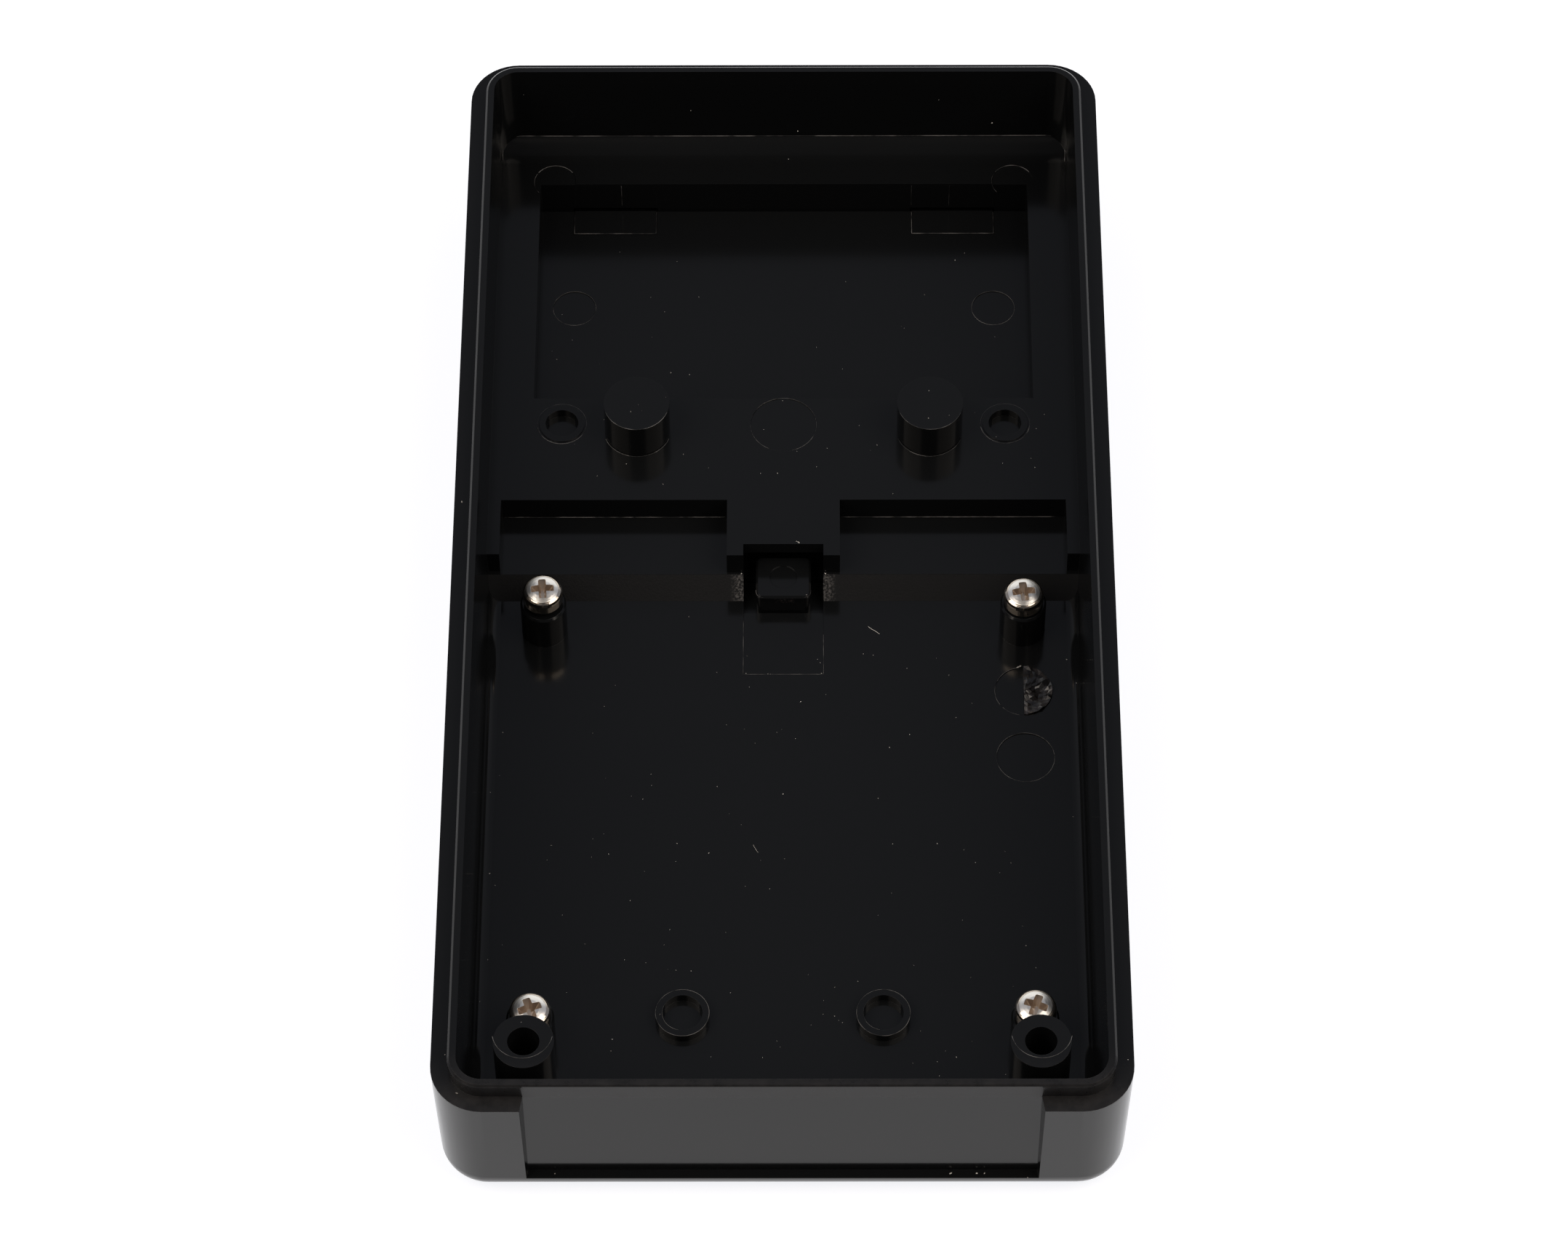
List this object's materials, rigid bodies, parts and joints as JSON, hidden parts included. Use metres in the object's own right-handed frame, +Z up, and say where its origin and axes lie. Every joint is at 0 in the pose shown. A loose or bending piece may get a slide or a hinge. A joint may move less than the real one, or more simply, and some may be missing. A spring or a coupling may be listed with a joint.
{
  "type": "injection moulded instrument case half",
  "caption": "Open lower half of a moulded plastic instrument case, with a stepped rim, bosses, a raised platform over a battery opening, a snap-in battery door and small screws.",
  "frame": {"origin": "middle of the flat underside, at the middle of the outline", "axes": "+X across the case, +Y along it towards the battery end, +Z up out of the open side"},
  "size_m": [0.08, 0.1544, 0.0224],
  "materials": {
    "case_abs": "glossy black moulded ABS",
    "door_abs": "glossy black moulded ABS",
    "screw_nickel": "bright nickel-plated steel"
  },
  "bodies": {
    "case": {"base_shell": "case_abs", "pcb_screw_front_left": "screw_nickel", "pcb_screw_front_right": "screw_nickel", "pcb_screw_rear_left": "screw_nickel", "pcb_screw_rear_right": "screw_nickel"},
    "battery_door": {"battery_door": "door_abs"}
  },
  "joints": [
    {"name": "battery_door_swing", "type": "hinge", "parent": "case", "child": "battery_door", "pos_m": [0, 0.0669, 0.0009], "axis": [1, 0, 0], "range_deg": [0, 25]}
  ]
}
